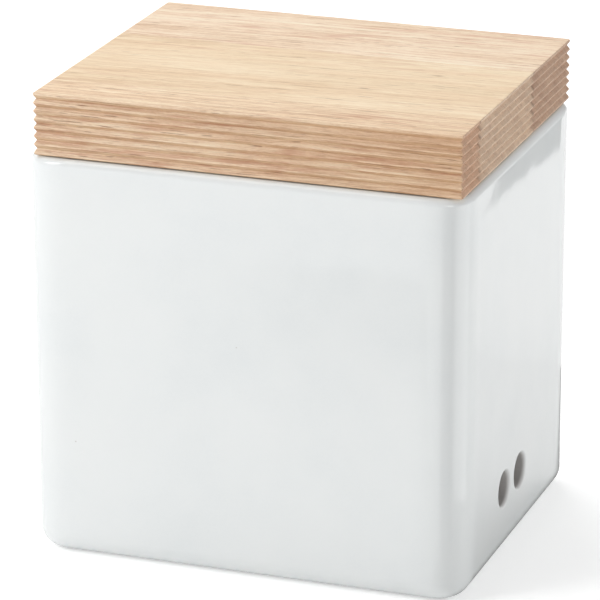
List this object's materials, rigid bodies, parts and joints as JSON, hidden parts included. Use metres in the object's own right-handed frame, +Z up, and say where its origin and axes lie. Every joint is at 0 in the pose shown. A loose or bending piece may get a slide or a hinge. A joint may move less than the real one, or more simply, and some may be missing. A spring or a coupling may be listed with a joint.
{
  "type": "ceramic canister",
  "caption": "Rectangular glazed ceramic storage canister with air holes low in its end walls and a grooved, edge-glued wooden lift-off lid.",
  "frame": {"origin": "on the surface the canister stands on, under the middle of the ceramic body", "axes": "+Z up; +X to the right along the long side, with the front face towards -Y; the air holes are in the end walls that face +X and -X"},
  "size_m": [0.1328, 0.1096, 0.14],
  "materials": {
    "white_glaze": "smooth white gloss glaze, bare matt clay on the foot ring",
    "lid_wood": "light hardwood, fine long pores, thin oil finish",
    "silicone": "translucent off-white silicone, satin"
  },
  "bodies": {
    "canister": {"ceramic_body": "white_glaze"},
    "lid": {"lid_stave_front": "lid_wood", "lid_stave_middle": "lid_wood", "lid_stave_rear": "lid_wood", "lid_seal": "silicone"}
  },
  "joints": [
    {"name": "lid_lift", "type": "slide", "parent": "canister", "child": "lid", "axis": [0, 0, 1], "range_m": [0, 0.12]}
  ]
}
